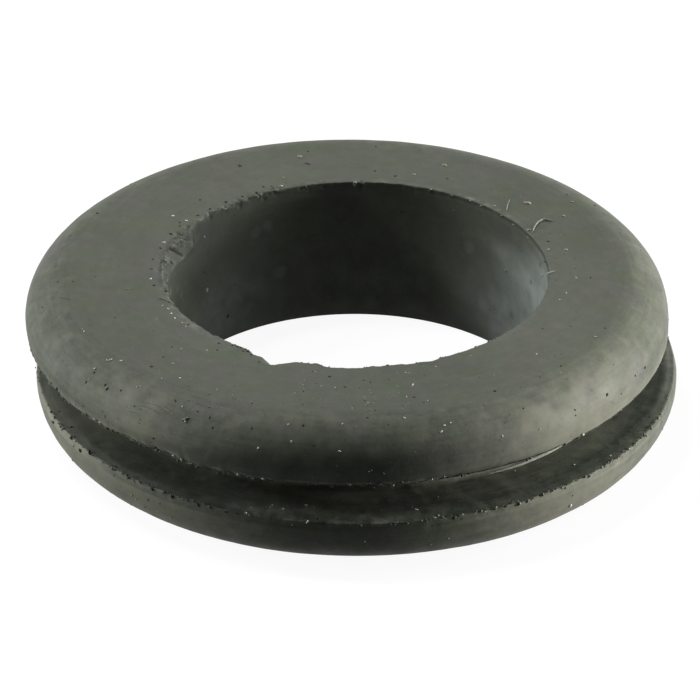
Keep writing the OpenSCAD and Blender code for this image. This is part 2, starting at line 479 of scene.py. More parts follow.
def worn_bore_edge():
    """How far each point moves out and up at the bore's top edge, and how torn it is there.

    The skin reaches in by its listed distance along the lip, a chip goes out and down, crumbling is noise
    times its table, and each nick is its depth times a falloff round its place.
    """
    edge = swept(BORE_EDGE, THETA)
    reach = around(THETA, SKIN_REACH)
    reach = reach + 0.175 * np.abs(reach) * rough(edge, 0.3, 11)
    skin = np.maximum(reach, 0)
    chip = np.maximum(-reach, 0)
    on_lip = np.where(ON_WALL, smoothstep(LIP_FROM, TOP - 0.08, HEIGHT), falloff(RADIUS - BORE_R, 0.7))
    lip = skin * on_lip * (HEIGHT > UNDER)
    crumble = around(THETA, EDGE_CRUMBLE)
    out = chip * falloff(FROM_BORE_EDGE, 0.7) - lip
    out = out + 1.3 * crumble * falloff(FROM_BORE_EDGE, 0.4) * rough(CLEAN_RING, 0.26, 21)
    up = -0.5 * chip * falloff(FROM_BORE_EDGE, 0.35) - 0.15 * lip * (0.5 + rough(edge, 0.6, 12))
    up = up - 1.2 * crumble * falloff(FROM_BORE_EDGE, 0.3) * np.abs(rough(CLEAN_RING, 0.3, 23))
    for radius, degrees, width, depth in NICKS:
        away = np.linalg.norm(CLEAN_RING[..., :2] - placed(0, radius, math.radians(degrees), 0)[:2], axis=-1)
        nick = depth / 100 * falloff(away, width / 100) * smoothstep(TOP - 0.5, TOP - 0.1, HEIGHT)
        out = out + 0.4 * nick
        up = up - nick
    torn = crumble / 0.12 * falloff(FROM_BORE_EDGE, 0.22) + chip / 0.2 * falloff(FROM_BORE_EDGE, 0.3)
    return out, up, torn + (skin > 0.05) * IN_BORE * falloff(FROM_BORE_EDGE, 0.2)


def torn_band():
    """The torn band: how far each point moves out and up, how far down the band it is, and the band's lean.

    The band slopes into the bore from the top edge to a lip, then steps back to the wall: its listed lean
    times that profile, with folds of noise that die out at both ends.
    """
    lean = around(THETA, TEAR_LEAN)
    down = (TOP - HEIGHT) / around(THETA, TEAR_DEPTH) + 0.12 * noise(CLEAN_RING, 0.7, 31)
    profile = np.interp(down, [0.0, 0.3, 0.6, 0.85, 1.1, 1.5, 1.9], [-0.05, 0.3, 0.78, 0.97, 1.0, 0.25, 0.0])
    folds = 0.50 * rough(CLEAN_RING, 1.1, 33) + 0.08 * noise(CLEAN_RING, 0.3, 34)
    folds = folds * falloff(down, 1.9) * smoothstep(0, 0.25, down)
    out = lean * np.where(ON_WALL, -profile - folds, 0.05 * falloff(FROM_BORE_EDGE, 0.5))
    up = lean * np.where(ON_WALL, 0.0, -0.12 * falloff(FROM_BORE_EDGE, 0.4))
    return out, up, down, lean


def worn_flange_edges():
    """How far each point moves out and up at the parting edges, and how torn it is there.

    Each edge's shift, and the lower one's raggedness times noise, fades with the distance from the edge.
    """
    wear_out, wear_up = upper_edge_shift(THETA)
    round_out, round_up = lower_edge_shift(THETA)
    near_upper, near_lower = falloff(FROM_UPPER_EDGE, 0.6), falloff(FROM_LOWER_EDGE, 0.5)
    ragged = 0.03 * around(THETA, LOWER_RAGGED) * falloff(FROM_LOWER_EDGE, 0.2)
    out = wear_out * near_upper + round_out * near_lower + ragged * rough(CLEAN_RING, 0.22, 51)
    up = wear_up * near_upper + round_up * near_lower + ragged * rough(CLEAN_RING, 0.2, 53)
    return out, up, wear_up / WEAR_UP / 0.4 * falloff(FROM_UPPER_EDGE, 0.2)


def summed(parts):
    """The sum of each part's share at a point times what its table says at that angle."""
    return sum(share * around(THETA, table) for share, table in parts)


def ring_tint(points, down, lean, crease):
    """How pale or dark each point is painted, much of it as light and shade: each table on its part of the
    ring, then the crease's painted shade and the band.
    """
    patchy = 0.65 + 1.1 * rough(points, 1.1, 58) + 0.6 * noise(points, 0.42, 59)
    low_strip = (RADIUS > FLANGE_R - 0.1) & (HEIGHT > UNDER - 0.01)
    # Most tables here paint light and shade: darker on the fronts, under the upper flange and on the bore's
    # far side, lighter on lit sides, the roll's foot, the groove's corner and the bore's right wall
    tint = summed((
        (ON_SIDE, SIDE_PAINTED_SHADING),
        (ON_SIDE * falloff(LEDGE - HEIGHT, 0.6), SIDE_SHOULDER_TINT),
        (IN_GROOVE * np.where(RADIUS > FLOOR_R + 0.3, 0.8 - 0.6 * RIM_STRIP, 0.1), LEDGE_PAINTED_SHADING),
        (ON_LEDGE * smoothstep(11.3, 11.8, RADIUS), LEDGE_OUTER_PAINTED_SHADOW),
        (IN_GROOVE * (HEIGHT < UNDER - 0.1) * falloff(RADIUS - FLOOR_R, 1.1), CORNER_PAINTED_FILL_LIGHT),
        (ON_ROLL * smoothstep(TOP - 0.5, TOP - 1.4, HEIGHT), ROLL_PAINTED_SHADING),
        (low_strip * falloff(HEIGHT - UNDER, 0.55), ROLL_FOOT_PAINTED_LIGHT),
        (ON_TOP * falloff(np.abs(RADIUS - CROWN_R), 0.8) * patchy, CROWN_SCUFFS_AND_PAINTED_SHADING),
        (ON_TOP & ~IN_BORE, FACE_TINT),
        (IN_BORE, BORE_PAINTED_SHADING),
        (IN_BORE * smoothstep(4.0, 1.2, HEIGHT), BORE_FOOT_PAINTED_SHADING),
        (IN_BORE * smoothstep(4.1, 5.1, HEIGHT), BORE_HEAD_PAINTED_SHADE),
        (IN_BORE * smoothstep(5.25, 5.55, HEIGHT), BORE_LIP_PAINTED_SHADING),
        # The roll just over the peeled strand is painted dark as the crack's shadow
        (-falloff(HEIGHT - UNDER - 0.05, 0.12) * (ON_ROLL & (HEIGHT < UNDER + 0.2)), STRAND_CRACK_PAINTED_SHADE),
    ))
    # The crease under the bore's top edge is painted dark as its shade
    tint = np.clip(tint, -1, 1) * (1 - crease) - 0.9 * crease
    in_band = ON_WALL * np.clip(lean / 0.2, 0, 1) * smoothstep(2.2, 1.4, down)
    tint = tint - in_band * (0.3 + 0.5 * falloff(down, 0.75) + 0.8 * noise(points, 0.45, 62))
    return np.clip(tint, -1, 1)


def ring_chalk(points, lip_chalk):
    """How chalky each point is: the tables along the edges, and the pale lip of the torn band."""
    chalk = summed((
        (RIM_STRIP * (0.7 + 0.9 * rough(points, 0.9, 57)), STRIP_CHALK),
        (falloff(FROM_UPPER_EDGE, 0.16), RIM_CHALK),
        (falloff(FROM_LOWER_EDGE, 0.2), SHOULDER_CHALK),
        ((HEIGHT > TOP - 0.005) * falloff(np.abs(RADIUS - BORE_R - 0.12), 0.2), MOUTH_CHALK),
    ))
    return np.clip(chalk + 0.85 * lip_chalk, 0, 1)


def worn_ring():
    """The ring's points, and how torn, how marked by handling, how tinted with painted light and shade as
    well as bloom and grease, and how chalky each is.

    Each point of the clean ring moves out and up by the wear at each edge, by the shallow crease under the
    bore's top edge, and by a slow unevenness along the normal.
    """
    bore_out, bore_up, bore_torn = worn_bore_edge()
    band_out, band_up, down, lean = torn_band()
    flange_out, flange_up, flange_torn = worn_flange_edges()
    # A shallow crease under the bore's top edge, which the tint paints dark as its shade
    crease = smoothstep(TOP - 0.24, TOP - 0.15, HEIGHT) * smoothstep(TOP, TOP - 0.03, HEIGHT)
    crease = around(THETA, EDGE_CREASE_SHADE) * crease * IN_BORE
    # The upper face is marked little, the rolls and the groove most
    handled = np.where(IN_BORE, 0.35, 0.28 + 0.6 * smoothstep(10.3, 11.6, RADIUS))
    handled = np.where(IN_GROOVE, around(THETA, GROOVE_MARKS), handled)
    swell = 0.010 * noise(CLEAN_RING, 2.6, 3) + 0.0035 * noise(CLEAN_RING, 0.9, 4)
    swell = swell + 0.006 * handled * noise(CLEAN_RING, 0.42, 5)
    swell = swell * smoothstep(0, 0.3, HEIGHT)
    normal_out, normal_up = section_normals()
    out = bore_out + band_out + flange_out + 0.03 * crease + swell * normal_out
    up = bore_up + band_up + flange_up + swell * normal_up
    points = CLEAN_RING + placed(0, out, THETA, up)

    lip_chalk = ON_WALL * falloff(np.abs(down - 0.98), 0.34) * around(THETA, TEAR_CHALK)
    lip_chalk = lip_chalk * np.clip(0.9 + 0.8 * noise(points, 0.5, 63), 0.0, 1.2)
    torn = bore_torn + flange_torn + lean * (ON_WALL & (down < 1.5)) * (1 - 0.8 * lip_chalk)
    return points, {
        "torn": np.clip(torn, 0, 1), "handled": handled,
        "tint": ring_tint(points, down, lean, crease), "chalk": ring_chalk(points, lip_chalk),
    }


def grid_normals(points):
    """Unit normals of a grid that closes both ways: the cross product of the steps along and across it."""
    across = np.roll(points, -1, axis=1) - np.roll(points, 1, axis=1)
    along = np.roll(points, -1, axis=0) - np.roll(points, 1, axis=0)
    normal = np.cross(across, along)
    return normal / np.linalg.norm(normal, axis=-1, keepdims=True)


# -------- flash left at the parting edges

def parting_fin(name, edge, ragged, lift, edge_shift, seed, material):
    """A thin ragged fin round a flange's parting edge.

    Its section is a flat lens rooted in the flange. The outer points stand out by noise at three scales times
    the raggedness there. The fin follows the edge's shift, and sinks in where the edge is clean.
    """
    # Each station's place from the edge, outwards and up, and how freely it moves
    lens = np.array([
        (-0.16, -0.03, 0), (-0.16, 0.04, 0), (-0.05, 0.035, 0.45),
        (0.005, 0.02, 1.0), (0.012, 0, 1.05), (-0.01, -0.02, 0.9),
    ])
    theta = np.linspace(0, 2 * math.pi, FIN_TURNS, endpoint=False)[:, None]
    shift_out, shift_up = edge_shift(theta)
    height = edge[0][1]
    points = swept(edge + lens * (1, 1, 0), theta)
    edge_line = swept(edge, theta)
    share = around(theta, ragged)
    present = np.clip(3.0 * share - 0.45, 0, 1)
    sunk = 0.05 * (1 - present)
    points[..., 2] = height + (points[..., 2] - height) * (0.2 + 0.8 * present) - sunk
    reach = 0.05 * noise(edge_line, 0.9, seed) + 0.06 * noise(edge_line, 0.3, seed + 1)
    reach = share * np.clip(reach + 0.05 * noise(edge_line, 0.13, seed + 2), -0.06, 0.12)
    rise = share * (0.03 * noise(edge_line, 0.5, seed + 3) + 0.035 * noise(edge_line, 0.16, seed + 4) + lift)
    uneven = 0.008 * noise(points, 0.1, seed + 5)
    free = lens[:, 2]
    out = reach * free + uneven + shift_out - sunk
    points = points + placed(0, out, theta, rise * free + uneven + shift_up)
    piece = mesh_piece(name, points, loop_faces(FIN_TURNS, len(lens)), material)


def peeled_strand(material):
    """The thread of rubber that has come away under the upper flange.

    Its path follows the flange's edge, lower by the listed drop and bent a little by noise, and ends inside
    the flange. Round sections are carried along it.
    """
    theta = np.radians(np.linspace(295.2, 313.2, 200))
    path = swept([(FLANGE_R - 0.03, UNDER, UPPER_X)], theta)
    bend = 0.010 * noise(path, 0.9, 61) + 0.005 * noise(path, 0.3, 62)
    path[:, 2] += bend - around(theta, STRAND_DROP) + 0.01
    piece = mesh_piece("peeled_strand", *rod(thread_sections(path, 0.063, 8, 2.4)), material)


# -------- crumbs, grit, dust and lint

def icosahedron():
    """The 12 points and 20 faces of an icosahedron of radius 1, from the golden ratio, faces outwards."""
    golden = (1 + math.sqrt(5)) / 2
    quarter = [(-1, golden, 0), (1, golden, 0), (-1, -golden, 0), (1, -golden, 0)]
    points = np.concatenate([np.roll(quarter, axis, axis=1) for axis in range(3)])
    faces = np.array([
        (0, 11, 5), (0, 5, 1), (0, 1, 7), (0, 7, 10), (0, 10, 11), (1, 5, 9), (5, 11, 4), (11, 10, 2),
        (10, 7, 6), (7, 1, 8), (3, 9, 4), (3, 4, 2), (3, 2, 6), (3, 6, 8), (3, 8, 9), (4, 9, 5), (2, 4, 11),
        (6, 2, 10), (8, 6, 7), (9, 8, 1),
    ])
    return points / np.linalg.norm(points[0]), faces


def scattered(points, normals, weight, count, rng):
    """Places on a closed grid, with normals: a cell drawn by its area times its weight, a point in it."""
    next_i = np.roll(points, -1, axis=0)
    next_j = np.roll(points, -1, axis=1)
    area = np.linalg.norm(np.cross(next_i - points, next_j - points), axis=-1) * weight
    cell = rng.choice(area.size, size=count, p=area.ravel() / area.sum())
    i, j = np.unravel_index(cell, area.shape)
    u, v = rng.random((2, count, 1))
    near = points[i, j] * (1 - v) + next_j[i, j] * v
    far = next_i[i, j] * (1 - v) + np.roll(next_i, -1, axis=1)[i, j] * v
    return near * (1 - u) + far * u, normals[i, j]


def random_sizes(middle, spread, least, most, count, rng):
    """Sizes drawn by a log-normal round the middle one, held between least and most."""
    return np.clip(rng.lognormal(math.log(middle), spread, count), least, most)


def blobs(name, grains, flatness, material, rng):
    """Small uneven grains, from groups of places, normals, sizes and tones.

    Each is an icosahedron with its points pushed in or out at random, stretched along two tangent axes at a
    random turn, flattened along the normal and half sunk. "tone" carries its tone.
    """
    places, normals, radii, tones = (np.concatenate(column) for column in zip(*grains))
    base, faces = icosahedron()
    count = len(places)
    helper = np.where(np.abs(normals[:, 2:]) < 0.9, [[0, 0, 1]], [[1, 0, 0]])
    side = np.cross(normals, helper)
    side /= np.linalg.norm(side, axis=1, keepdims=True)
    other = np.cross(normals, side)
    turn = rng.random((count, 1)) * 2 * math.pi
    first = side * np.cos(turn) + other * np.sin(turn)
    second = other * np.cos(turn) - side * np.sin(turn)
    stretch = rng.uniform(0.6, 1.5, (count, 1, 1))
    local = base * rng.uniform(0.7, 1.25, (count, len(base), 1)) * radii[:, None, None]
    points = (
        places[:, None]
        + first[:, None] * local[..., 0:1] * stretch
        + second[:, None] * local[..., 1:2] / stretch
        + normals[:, None] * local[..., 2:3] * flatness
    )
    corners = (np.arange(count)[:, None, None] * len(base) + faces).reshape(-1, 3)
    return mesh_piece(name, points, corners.tolist(), material, {"tone": np.repeat(tones, len(base))})


def upper_face(radius, degrees):
    """Points and normals on the upper flange, from its own centre.

    The height is the top inside the roll, and on the roll its centre plus the root of its radius squared less
    the way out squared. At the full radius a point lies on the parting edge.
    """
    turn = np.radians(degrees)
    out = np.clip(radius - (FLANGE_R - ROLL_R), 0, 0.999 * ROLL_R)
    rise = np.sqrt(ROLL_R**2 - out**2)
    on_edge = radius > FLANGE_R - 0.01
    shift_out, shift_up = upper_edge_shift(turn)
    height = np.where(on_edge, UNDER + 0.03 + shift_up, TOP - ROLL_R + rise)
    places = placed(UPPER_X, radius + on_edge * shift_out, turn, height)
    return places, placed(0, out, turn, rise) / ROLL_R


def lower_face(radius, degrees):
    """Points and normals on the lower flange's ledge, from its own centre."""
    turn = np.radians(degrees)
    return placed(LOWER_X, radius, turn, LEDGE), placed(0, 0, turn, 1.0)


def wall_face(degrees, height):
    """Points and normals on the bore's wall."""
    turn = np.radians(degrees)
    return placed(0, BORE_R, turn, height), placed(0, -1, turn, 0)


def side_face(degrees, height):
    """Points and normals on the lower flange's side.

    It is upright above the roll, and on the roll the way out is the root of its radius squared less the drop
    squared.
    """
    turn = np.radians(degrees)
    drop = np.clip(ROLL_R - height, 0, ROLL_R)
    out = np.sqrt(ROLL_R**2 - drop**2)
    return placed(LOWER_X, FLANGE_R - ROLL_R + out, turn, height), placed(0, out, turn, -drop) / ROLL_R


def listed(specks, place_on, stand_off, tone):
    """Points, normals, sizes and tones of listed grains. One with no tone of its own gets the given one."""
    places, normals = place_on(*np.transpose([row[:2] for row in specks]))
    sizes = np.array([row[2] for row in specks]) / 100
    tones = np.array([row[3] / 100 if len(row) > 3 else tone for row in specks])
    return places + normals * stand_off, normals, sizes, tones


def rim_places(edge, ragged, edge_shift, count, rng):
    """Random places along a parting edge: an angle drawn by the raggedness, and a small throw off it."""
    angle = np.linspace(0, 2 * math.pi, 3600, endpoint=False)
    share = around(angle, ragged)
    theta = rng.choice(angle, size=count, p=share / share.sum())
    shift_out, shift_up = edge_shift(theta)
    (radius, height, centre_x), = edge
    radius = radius - 0.02 + rng.normal(0, 0.03, count) + shift_out
    height = height - 0.01 + rng.normal(0, 0.04, count) + shift_up
    return placed(centre_x, radius, theta, height), placed(0, 1, theta, 0)


def thread_sections(path, radius, sides=6, taper=6.0):
    """Round sections square to a path, which thin towards both ends."""
    along = np.gradient(path, axis=0)
    side = np.cross(along, [0, 0, 1])
    over = np.cross(along, side)
    side /= np.linalg.norm(side, axis=1, keepdims=True)
    over /= np.linalg.norm(over, axis=1, keepdims=True)
    angle = np.linspace(0, 2 * math.pi, sides, endpoint=False)[:, None]
    t = np.linspace(0, 1, len(path))[:, None, None]
    thick = radius * np.clip(taper * np.minimum(t, 1 - t) + 0.15, 0, 1)
    return path[:, None] + thick * (side[:, None] * np.cos(angle) + over[:, None] * np.sin(angle))


def smooth_path(knots, steps):
    """A path through knots: cubic Hermite pieces whose slopes are half the step between the neighbours."""
    slope = np.gradient(knots, axis=0)
    t = np.linspace(0, len(knots) - 1, steps)
    k = np.minimum(t.astype(int), len(knots) - 2)
    f = (t - k)[:, None]
    return (
        knots[k] * (2 * f**3 - 3 * f**2 + 1) + slope[k] * (f**3 - 2 * f**2 + f)
        + knots[k + 1] * (3 * f**2 - 2 * f**3) + slope[k + 1] * (f**3 - f**2)
    )


# Each thread's knots, as radius from the upper flange's centre, degrees and height, and its own radius
THREADS = (
    # A curled fibre that arches off the right of the face
    (
        [(7.93, 23.6, 0.02), (8.15, 25.8, 0.05), (8.5, 28, 0.08), (8.85, 28.7, 0.06), (9.15, 26.8, 0.03)],
        0.034,
    ),
    # A hair across the bore's edge
    ([(7.5, -2.6, -0.06), (7.76, -0.8, 0.03), (8.07, 0.8, 0.02)], 0.026),
    # Short fibres lying flat
    ([(8.08, 39, 0.01), (8.4, 41, 0.02), (8.8, 43, 0.01)], 0.026),
    ([(11.22, 189, 0.01), (11.05, 190.3, 0.02), (10.85, 191.3, 0.01)], 0.012),
    ([(7.52, 195.4, 0.02), (7.3, 197.6, 0.03), (7.04, 200.9, -0.05)], 0.020),
    ([(8.8, 188.4, 0.01), (8.62, 189.2, 0.01), (8.45, 189, 0.01)], 0.014),
    # Scuffs raised on the front left of the roll
    ([(12.1, 228.6, 0), (12.03, 231, 0.006), (12.05, 233.2, 0.006), (12.08, 234.8, 0)], 0.014),
    ([(11.92, 230.4, 0), (11.88, 233.2, 0.006), (11.93, 236, 0.004), (12.02, 237.6, 0)], 0.015),
    ([(12.28, 228, 0), (12.24, 229.6, 0.004), (12.26, 231, 0)], 0.012),
    # A forked fleck on the roll's front left
    ([(12.05, 239.3, 0.01), (12, 239.9, 0.05), (11.93, 240.6, 0.01)], 0.030),
    ([(12.1, 240.5, 0.01), (12.02, 239.9, 0.05), (12.03, 239.5, 0.03)], 0.026),
)


def lint(material):
    """The threads of lint lying on the part: thin tubes along smooth paths, joined in one mesh."""
    points, faces, offset = [], [], 0
    for knots, thickness in THREADS:
        radius, degrees, height = np.transpose(knots)
        places, normals = upper_face(radius, degrees)
        path = smooth_path(places + normals * height[:, None], 24)
        thread_points, thread_faces = rod(thread_sections(path, thickness))
        points.append(thread_points)
        faces += [[corner + offset for corner in face] for face in thread_faces]
        offset += len(thread_points)
    mesh_piece("lint", np.concatenate(points), faces, material)


# -------- materials

class Nodes:
    """Adds shader nodes to one tree. Each method gives the socket that carries its result."""

    def __init__(self, owner, coordinates="Object"):
        """Starts the tree of a material or a world, with one set of coordinates in metres."""
        owner.use_nodes = True
        self.owner = owner
        self.tree = owner.node_tree
        self.place = self.add("TexCoord").outputs[coordinates]

    def add(self, kind, inputs=(), **settings):
        """A new node, set up and fed."""
        node = self.tree.nodes.new("ShaderNode" + kind)
        for key, value in settings.items():
            setattr(node, key, value)
        return self.feed(node, dict(inputs))

    def feed(self, node, inputs):
        """An input given a socket is linked to it, and any other value is set."""
        for key, value in inputs.items():
            if isinstance(value, bpy.types.NodeSocket):
                self.tree.links.new(value, node.inputs[key])
            else:
                node.inputs[key].default_value = value
        return node

    def math(self, operation, first, second=0.0, third=0.0):
        """One arithmetic step on two or three values."""
        return self.add("Math", {0: first, 1: second, 2: third}, operation=operation).outputs[0]

    def times(self, first, second):
        """Two values multiplied."""
        return self.math("MULTIPLY", first, second)

    def vector(self, operation, inputs):
        """One step on vectors: a length or distance comes as a value, and any other result as a vector."""
        outputs = self.add("VectorMath", inputs, operation=operation).outputs
        return outputs["Value" if operation in ("LENGTH", "DISTANCE") else "Vector"]

    def stretched(self, value, from_low, from_high, low=0.0, high=1.0):
        """A value carried from one range to another, and held at its ends."""
        return self.add("MapRange", {0: value, 1: from_low, 2: from_high, 3: low, 4: high}).outputs[0]

    def grain(self, size, seed, low=0.0, high=1.0, detail=2.0, between=(0.3, 0.7)):
        """Noise with cells of the given size in mm, its range between stretched to run from low to high."""
        inputs = {"Vector": self.place, "W": seed, "Scale": 1 / (size * MM), "Detail": detail}
        cloud = self.add("TexNoise", inputs, noise_dimensions="4D").outputs[0]
        return self.stretched(cloud, *between, low, high)

    def blended(self, share, first, second, blend="MIX"):
        """Two colours mixed by share, or the second laid on the first by another blend."""
        return self.add("Mix", {0: share, 6: first, 7: second}, data_type="RGBA", blend_type=blend).outputs[2]

    def shaded(self, colour, value):
        """A colour multiplied by a value."""
        grey = self.add("CombineColor", {0: value, 1: value, 2: value}).outputs[0]
        return self.blended(1.0, colour, grey, "MULTIPLY")

    def carried(self, name):
        """A number carried on the mesh's points."""
        return self.add("Attribute", attribute_name=name).outputs["Fac"]

    def bumped(self, height, depth, **others):
        """A bump from a height of 0 to 1, depth mm deep, over another bump or at a strength where given."""
        inputs = {"Height": height, "Distance": depth * MM, "Strength": 1.0, **others}
        return self.add("Bump", inputs).outputs[0]

    def finished(self, colour, roughness, specular, **others):
        """The material, with the results on its Principled shader."""
        inputs = {"Base Color": colour, "Roughness": roughness, "Specular IOR Level": specular, **others}
        self.feed(self.tree.nodes["Principled BSDF"], inputs)
        return self.owner


def material_nodes(name):
    """The nodes of a new material."""
    return Nodes(bpy.data.materials.new(name))


def streaks(nodes, width, turn, seed):
    """Noise drawn out round the axis, in cells width mm across and turn radians long.

    It takes the radius and height over the width, and the direction's cosine and sine over the turn.
    """
    x, y, z = nodes.add("SeparateXYZ", {0: nodes.place}).outputs
    radius = nodes.vector("LENGTH", {0: nodes.add("CombineXYZ", {0: x, 1: y}).outputs[0]})
    cosine = nodes.math("DIVIDE", x, radius)
    sine = nodes.math("DIVIDE", y, radius)
    across = 1 / (width * MM)
    parts = {0: nodes.times(radius, across), 1: nodes.times(z, across), 2: nodes.times(cosine, 1 / turn)}
    vector = nodes.add("CombineXYZ", parts).outputs[0]
    fourth = nodes.math("MULTIPLY_ADD", sine, 1 / turn, seed)
    inputs = {"Vector": vector, "W": fourth, "Scale": 1, "Detail": 2}
    return nodes.add("TexNoise", inputs, noise_dimensions="4D").outputs[0]


def wall_marks_and_painted_shading(nodes):
    """The sum of the soft marks on the bore's wall, smudges and painted light and shade: each is its strength
    times a falloff from its middle.
    """
    cloud = nodes.add("TexNoise", {"Vector": nodes.place, "Scale": 1 / (0.5 * MM), "Detail": 2})
    apart = nodes.vector("SUBTRACT", {0: cloud.outputs["Color"], 1: (0.5, 0.5, 0.5)})
    apart = nodes.vector("SCALE", {0: apart, "Scale": 0.35 * MM})
    uneven = nodes.vector("ADD", {0: nodes.place, 1: apart})
    total = 0.0
    for degrees, height, reach, strength in WALL_MARKS_AND_PAINTED_SHADING:
        middle = placed(0, BORE_R * MM, math.radians(degrees), height * MM)
        away = nodes.vector("DISTANCE", {0: uneven, 1: middle})
        reach = reach / 100 * MM
        total = nodes.math("ADD", total, nodes.stretched(away, 0.5 * reach, reach, strength / 100, 0))
    return total


RUBBER_OLIVE = (0.1, 0.115, 0.081, 1)
RUBBER_PINK = (0.109, 0.111, 0.0985, 1)
RUBBER_BLOOM = (0.165, 0.168, 0.135, 1)
# Pale colours laid on by the tint: dust outside and haze in the bore, and also painted light
RUBBER_DUST_AND_LIGHT = (0.285, 0.288, 0.222, 1)
RUBBER_HAZE_AND_LIGHT = (0.3, 0.332, 0.308, 1)
RUBBER_CHALK = (0.34, 0.35, 0.3, 1)
# The dark colour laid on by the tint: grease, and also painted shade
RUBBER_GREASE_AND_SHADE = (0.026, 0.031, 0.023, 1)
RUBBER_TORN_DARK = (0.045, 0.048, 0.04, 1)
RUBBER_TORN_PALE = (0.165, 0.17, 0.15, 1)


def rubber_material():
    """Matt black rubber: olive and pinkish clouds, drawn-out streaks, dry bloom, pores, torn places, and the
    carried tint, which paints light and shade as well as dust, haze and grease.
    """
    nodes = material_nodes("moulded_rubber")
    times, grain, stretched, blended = nodes.times, nodes.grain, nodes.stretched, nodes.blended
    handled, torn = nodes.carried("handled"), nodes.carried("torn")
    marks = (
        grain(0.11, 3, -0.10, 0.10),
        grain(0.42, 11, -0.16, 0.16, detail=3),
        stretched(streaks(nodes, 0.16, 0.16, 5), 0.3, 0.7, -0.14, 0.14),
        grain(0.13, 12, 0.0, -0.5, detail=1, between=(0.68, 0.76)),
    )
    shade = grain(2.8, 2, 0.95, 1.05)
    for mark in marks:
        shade = nodes.math("ADD", shade, times(mark, handled))
    colour = nodes.shaded(blended(grain(1.3, 1), RUBBER_OLIVE, RUBBER_PINK), shade)
    bloom = grain(0.6, 4, 0.0, 0.9, detail=5, between=(0.52, 0.74))
    colour = blended(times(bloom, handled), colour, RUBBER_BLOOM)

    # The tint, which paints light and shade as well as dust, haze and grease: the dusty colour outside and
    # the hazy one in the bore where it is pale, the greasy one where it is dark
    tint = nodes.math("ADD", nodes.carried("tint"), wall_marks_and_painted_shading(nodes))
    cloud = grain(0.8, 13, 0.55, 1.15, detail=4)
    from_axis = nodes.vector("LENGTH", {0: nodes.vector("MULTIPLY", {0: nodes.place, 1: (1, 1, 0)})})
    outside = stretched(from_axis, (BORE_R + 0.1) * MM, (BORE_R + 0.3) * MM)
    colour = blended(times(stretched(tint, 0, 1), cloud), colour, blended(outside, RUBBER_HAZE_AND_LIGHT, RUBBER_DUST_AND_LIGHT))
    colour = blended(times(stretched(tint, 0, -1, 0, 0.9), cloud), colour, RUBBER_GREASE_AND_SHADE)

    flaky = grain(0.45, 14, detail=4, between=(0.42, 0.64))
    colour = blended(times(nodes.carried("chalk"), flaky), colour, RUBBER_CHALK)
    torn_mix = grain(0.22, 6, detail=3, between=(0.35, 0.65))
    colour = blended(times(torn, 0.75), colour, blended(torn_mix, RUBBER_TORN_DARK, RUBBER_TORN_PALE))
    slow = nodes.bumped(grain(0.45, 8), 0.004)
    skin = nodes.bumped(grain(0.09, 9, detail=3), 0.0022, Normal=slow)
    coarse = nodes.bumped(grain(0.2, 10), 0.02, Normal=skin, Strength=torn)
    return nodes.finished(colour, grain(0.7, 7, 0.56, 0.68), 0.2, Normal=coarse)


def torn_rubber_material(name, dark, pale):
    """Thin torn rubber: the same black, patchily paler where it has been stretched, and rougher."""
    nodes = material_nodes(name)
    colour = nodes.blended(nodes.grain(0.24, 21, detail=3), dark, pale)
    colour = nodes.shaded(colour, nodes.grain(0.07, 22, 0.8, 1.2))
    bump = nodes.bumped(nodes.grain(0.08, 24, detail=3), 0.012)
    return nodes.finished(colour, nodes.grain(0.3, 23, 0.6, 0.8), 0.15, Normal=bump)


# The palest tone a grain may have
WHITE_TONE = 1.55


def speck_material(name, dark, pale, roughness):
    """Grains from one colour at tone 0 past the other at tone 1, mottled within each, with an uneven skin."""
    nodes = material_nodes(name)
    share = nodes.stretched(nodes.carried("tone"), 0.0, WHITE_TONE)
    colour = nodes.blended(share, dark, tuple(d + WHITE_TONE * (p - d) for d, p in zip(dark, pale)))
    colour = nodes.shaded(colour, nodes.grain(0.03, 31, 0.75, 1.2))
    return nodes.finished(colour, roughness, 0.2, Normal=nodes.bumped(nodes.grain(0.02, 32), 0.004))


def lint_material():
    """Pale lint, slightly uneven in colour along each thread."""
    nodes = material_nodes("lint_fibre")
    colour = nodes.blended(nodes.grain(0.15, 41), (0.17, 0.175, 0.15, 1), (0.28, 0.29, 0.25, 1))
    return nodes.finished(colour, 0.7, 0.2)


# -------- table, lamps and camera, in metres

# How bright the near side of the room looks in a reflection
ROOM_GREY = 0.2
# How far the table lies under the part, so that their faces don't share a plane
SINK = 0.01 * MM
TABLE_HALF = 1.5
LAMP_DISTANCE = 0.5
CAMERA_DISTANCE = 0.25
# In degrees over the table
CAMERA_ELEVATION = 29.96
CAMERA_AIM = Vector((-0.0002, 0, 0.0026))


def rays(nodes):
    """Two sockets: 1 for the camera's rays, straight or through something clear, and 1 for mirrored rays."""
    path = nodes.add("LightPath").outputs
    return nodes.math("MAXIMUM", path["Is Camera Ray"], path["Is Transmission Ray"]), path["Is Glossy Ray"]


